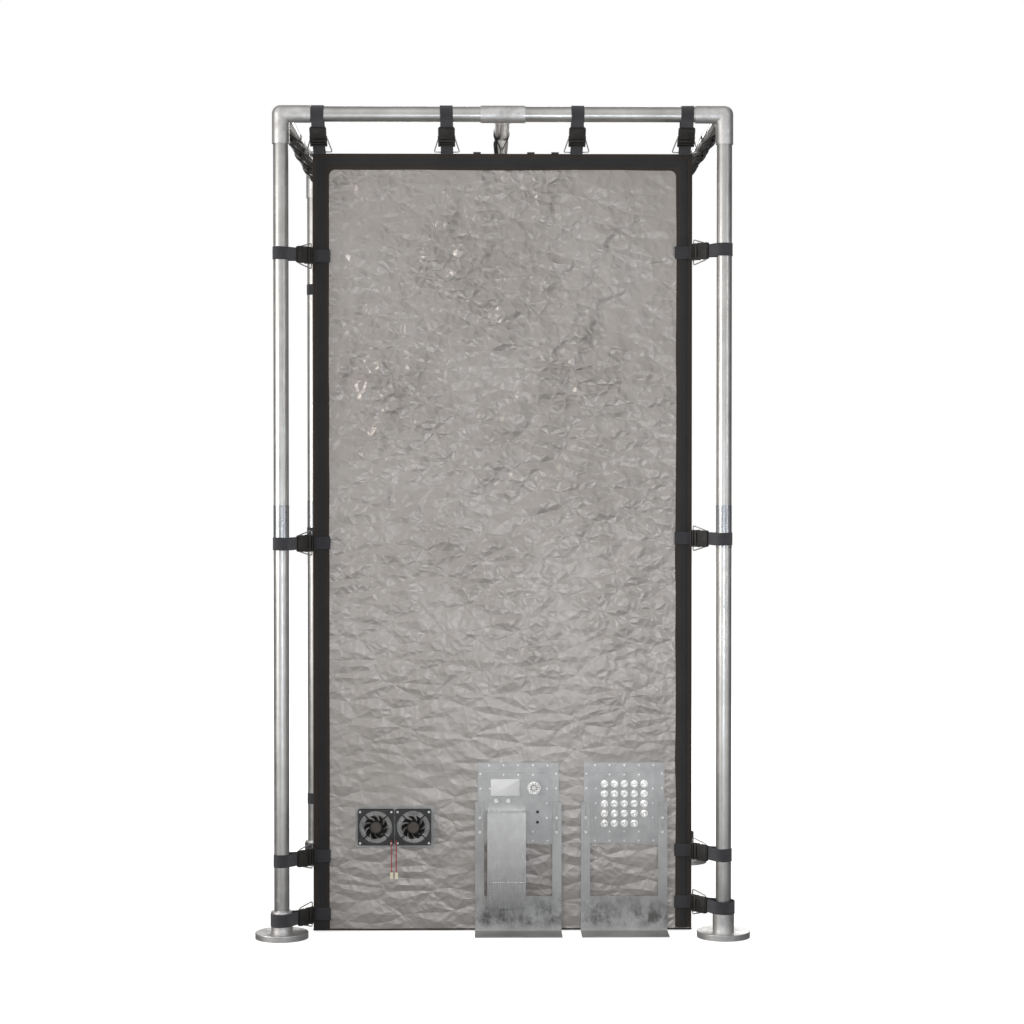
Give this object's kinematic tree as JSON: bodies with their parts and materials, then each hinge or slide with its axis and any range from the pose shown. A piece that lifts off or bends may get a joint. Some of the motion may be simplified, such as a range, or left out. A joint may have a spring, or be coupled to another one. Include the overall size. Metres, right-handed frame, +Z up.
{
  "type": "shielded test tent",
  "caption": "Walk-in shielded tent of crinkled silver cloth, hung by webbing straps in a free-standing pipe frame, with fans, a filter panel and a coaxial feed-through panel.",
  "frame": {"origin": "centre of the footprint, on the floor", "axes": "+Z up, -Y towards the front with the panels and fans, +X to the right seen from the front"},
  "size_m": [1.568, 1.568, 2.63],
  "materials": {
    "cast_fitting": "sand-cast, tumbled",
    "pipe": "mill finish",
    "coupling": "turned",
    "dark_steel": "blackened",
    "groundsheet": "coated cloth",
    "silver_cloth": "crinkled metallised cloth",
    "binding": "woven tape",
    "galvanised_wire": "galvanised",
    "webbing": "ribbed webbing",
    "buckle_plastic": "moulded",
    "vent_metal": "satin",
    "fan_plastic": "moulded",
    "screw_steel": "zinc plated",
    "red_insulation": "extruded",
    "plug_plastic": "moulded",
    "stand_sheet": "galvanised sheet with stains",
    "panel_metal": "satin",
    "nickel": "nickel plated",
    "box_steel": "brushed"
  },
  "bodies": {
    "frame_and_tent": {"base_flanges": "cast_fitting", "corner_elbow_front_left": "cast_fitting", "corner_elbow_front_right": "cast_fitting", "corner_elbow_rear_left": "cast_fitting", "corner_elbow_rear_right": "cast_fitting", "rail_tees": "cast_fitting", "lower_pole_front_left": "pipe", "lower_pole_front_right": "pipe", "lower_pole_rear_left": "pipe", "lower_pole_rear_right": "pipe", "upper_pole_front_left": "pipe", "upper_pole_front_right": "pipe", "upper_pole_rear_left": "pipe", "upper_pole_rear_right": "pipe", "front_rail_left": "pipe", "front_rail_right": "pipe", "rear_rail_left": "pipe", "rear_rail_right": "pipe", "side_rail_left": "pipe", "side_rail_right": "pipe", "centre_rail": "pipe", "pole_couplings": "coupling", "grub_screws": "dark_steel", "tent_floor": "groundsheet", "tent_front_wall": "silver_cloth", "tent_left_wall": "silver_cloth", "tent_right_wall": "silver_cloth", "tent_roof": "silver_cloth", "tent_rear_wall": "silver_cloth", "edge_bindings": "binding", "ring_tabs": "binding", "roof_tabs": "binding", "strap_rings": "galvanised_wire", "pole_straps": "webbing", "rail_straps": "webbing", "strap_buckles": "buckle_plastic", "fan_vent_plate": "vent_metal", "fan_housing_left": "fan_plastic", "fan_housing_right": "fan_plastic", "fan_screws": "screw_steel", "fan_lead_left": "red_insulation", "fan_lead_right": "red_insulation", "fan_plug_left": "plug_plastic", "fan_plug_right": "plug_plastic", "filter_stand": "stand_sheet", "feedthrough_stand": "stand_sheet"},
    "door": {"tent_door": "silver_cloth", "door_zip_tape": "binding"},
    "zip_slider": {"zip_slider": "galvanised_wire"},
    "fan_rotor_left": {"fan_rotor_left": "fan_plastic"},
    "fan_rotor_right": {"fan_rotor_right": "fan_plastic"},
    "filter_panel": {"filter_clamp_frames": "panel_metal", "filter_plate": "panel_metal", "filter_plate_ports": "nickel", "filter_box": "box_steel", "filter_panel_screws": "screw_steel"},
    "feedthrough_panel": {"feedthrough_clamp_frames": "panel_metal", "feedthrough_plate": "panel_metal", "coax_connectors": "nickel", "feedthrough_panel_screws": "screw_steel"}
  },
  "joints": [
    {"name": "door_swing", "type": "hinge", "parent": "frame_and_tent", "child": "door", "pos_m": [-0.392, 0.606, 1.055], "axis": [0, 0, 1], "range_deg": [0, 100]},
    {"name": "zip_travel", "type": "slide", "parent": "door", "child": "zip_slider", "axis": [0, 0, 1], "range_m": [0, 1.93]},
    {"name": "fan_spin_left", "type": "hinge", "parent": "frame_and_tent", "child": "fan_rotor_left", "pos_m": [-0.406, -0.621, 0.338], "axis": [0, -1, 0], "continuous": true},
    {"name": "fan_spin_right", "type": "hinge", "parent": "frame_and_tent", "child": "fan_rotor_right", "pos_m": [-0.286, -0.621, 0.338], "axis": [0, -1, 0], "continuous": true},
    {"name": "filter_panel_height", "type": "slide", "parent": "frame_and_tent", "child": "filter_panel", "axis": [0, 0, 1], "range_m": [0, 0.03]},
    {"name": "feedthrough_panel_height", "type": "slide", "parent": "frame_and_tent", "child": "feedthrough_panel", "axis": [0, 0, 1], "range_m": [0, 0.03]}
  ]
}
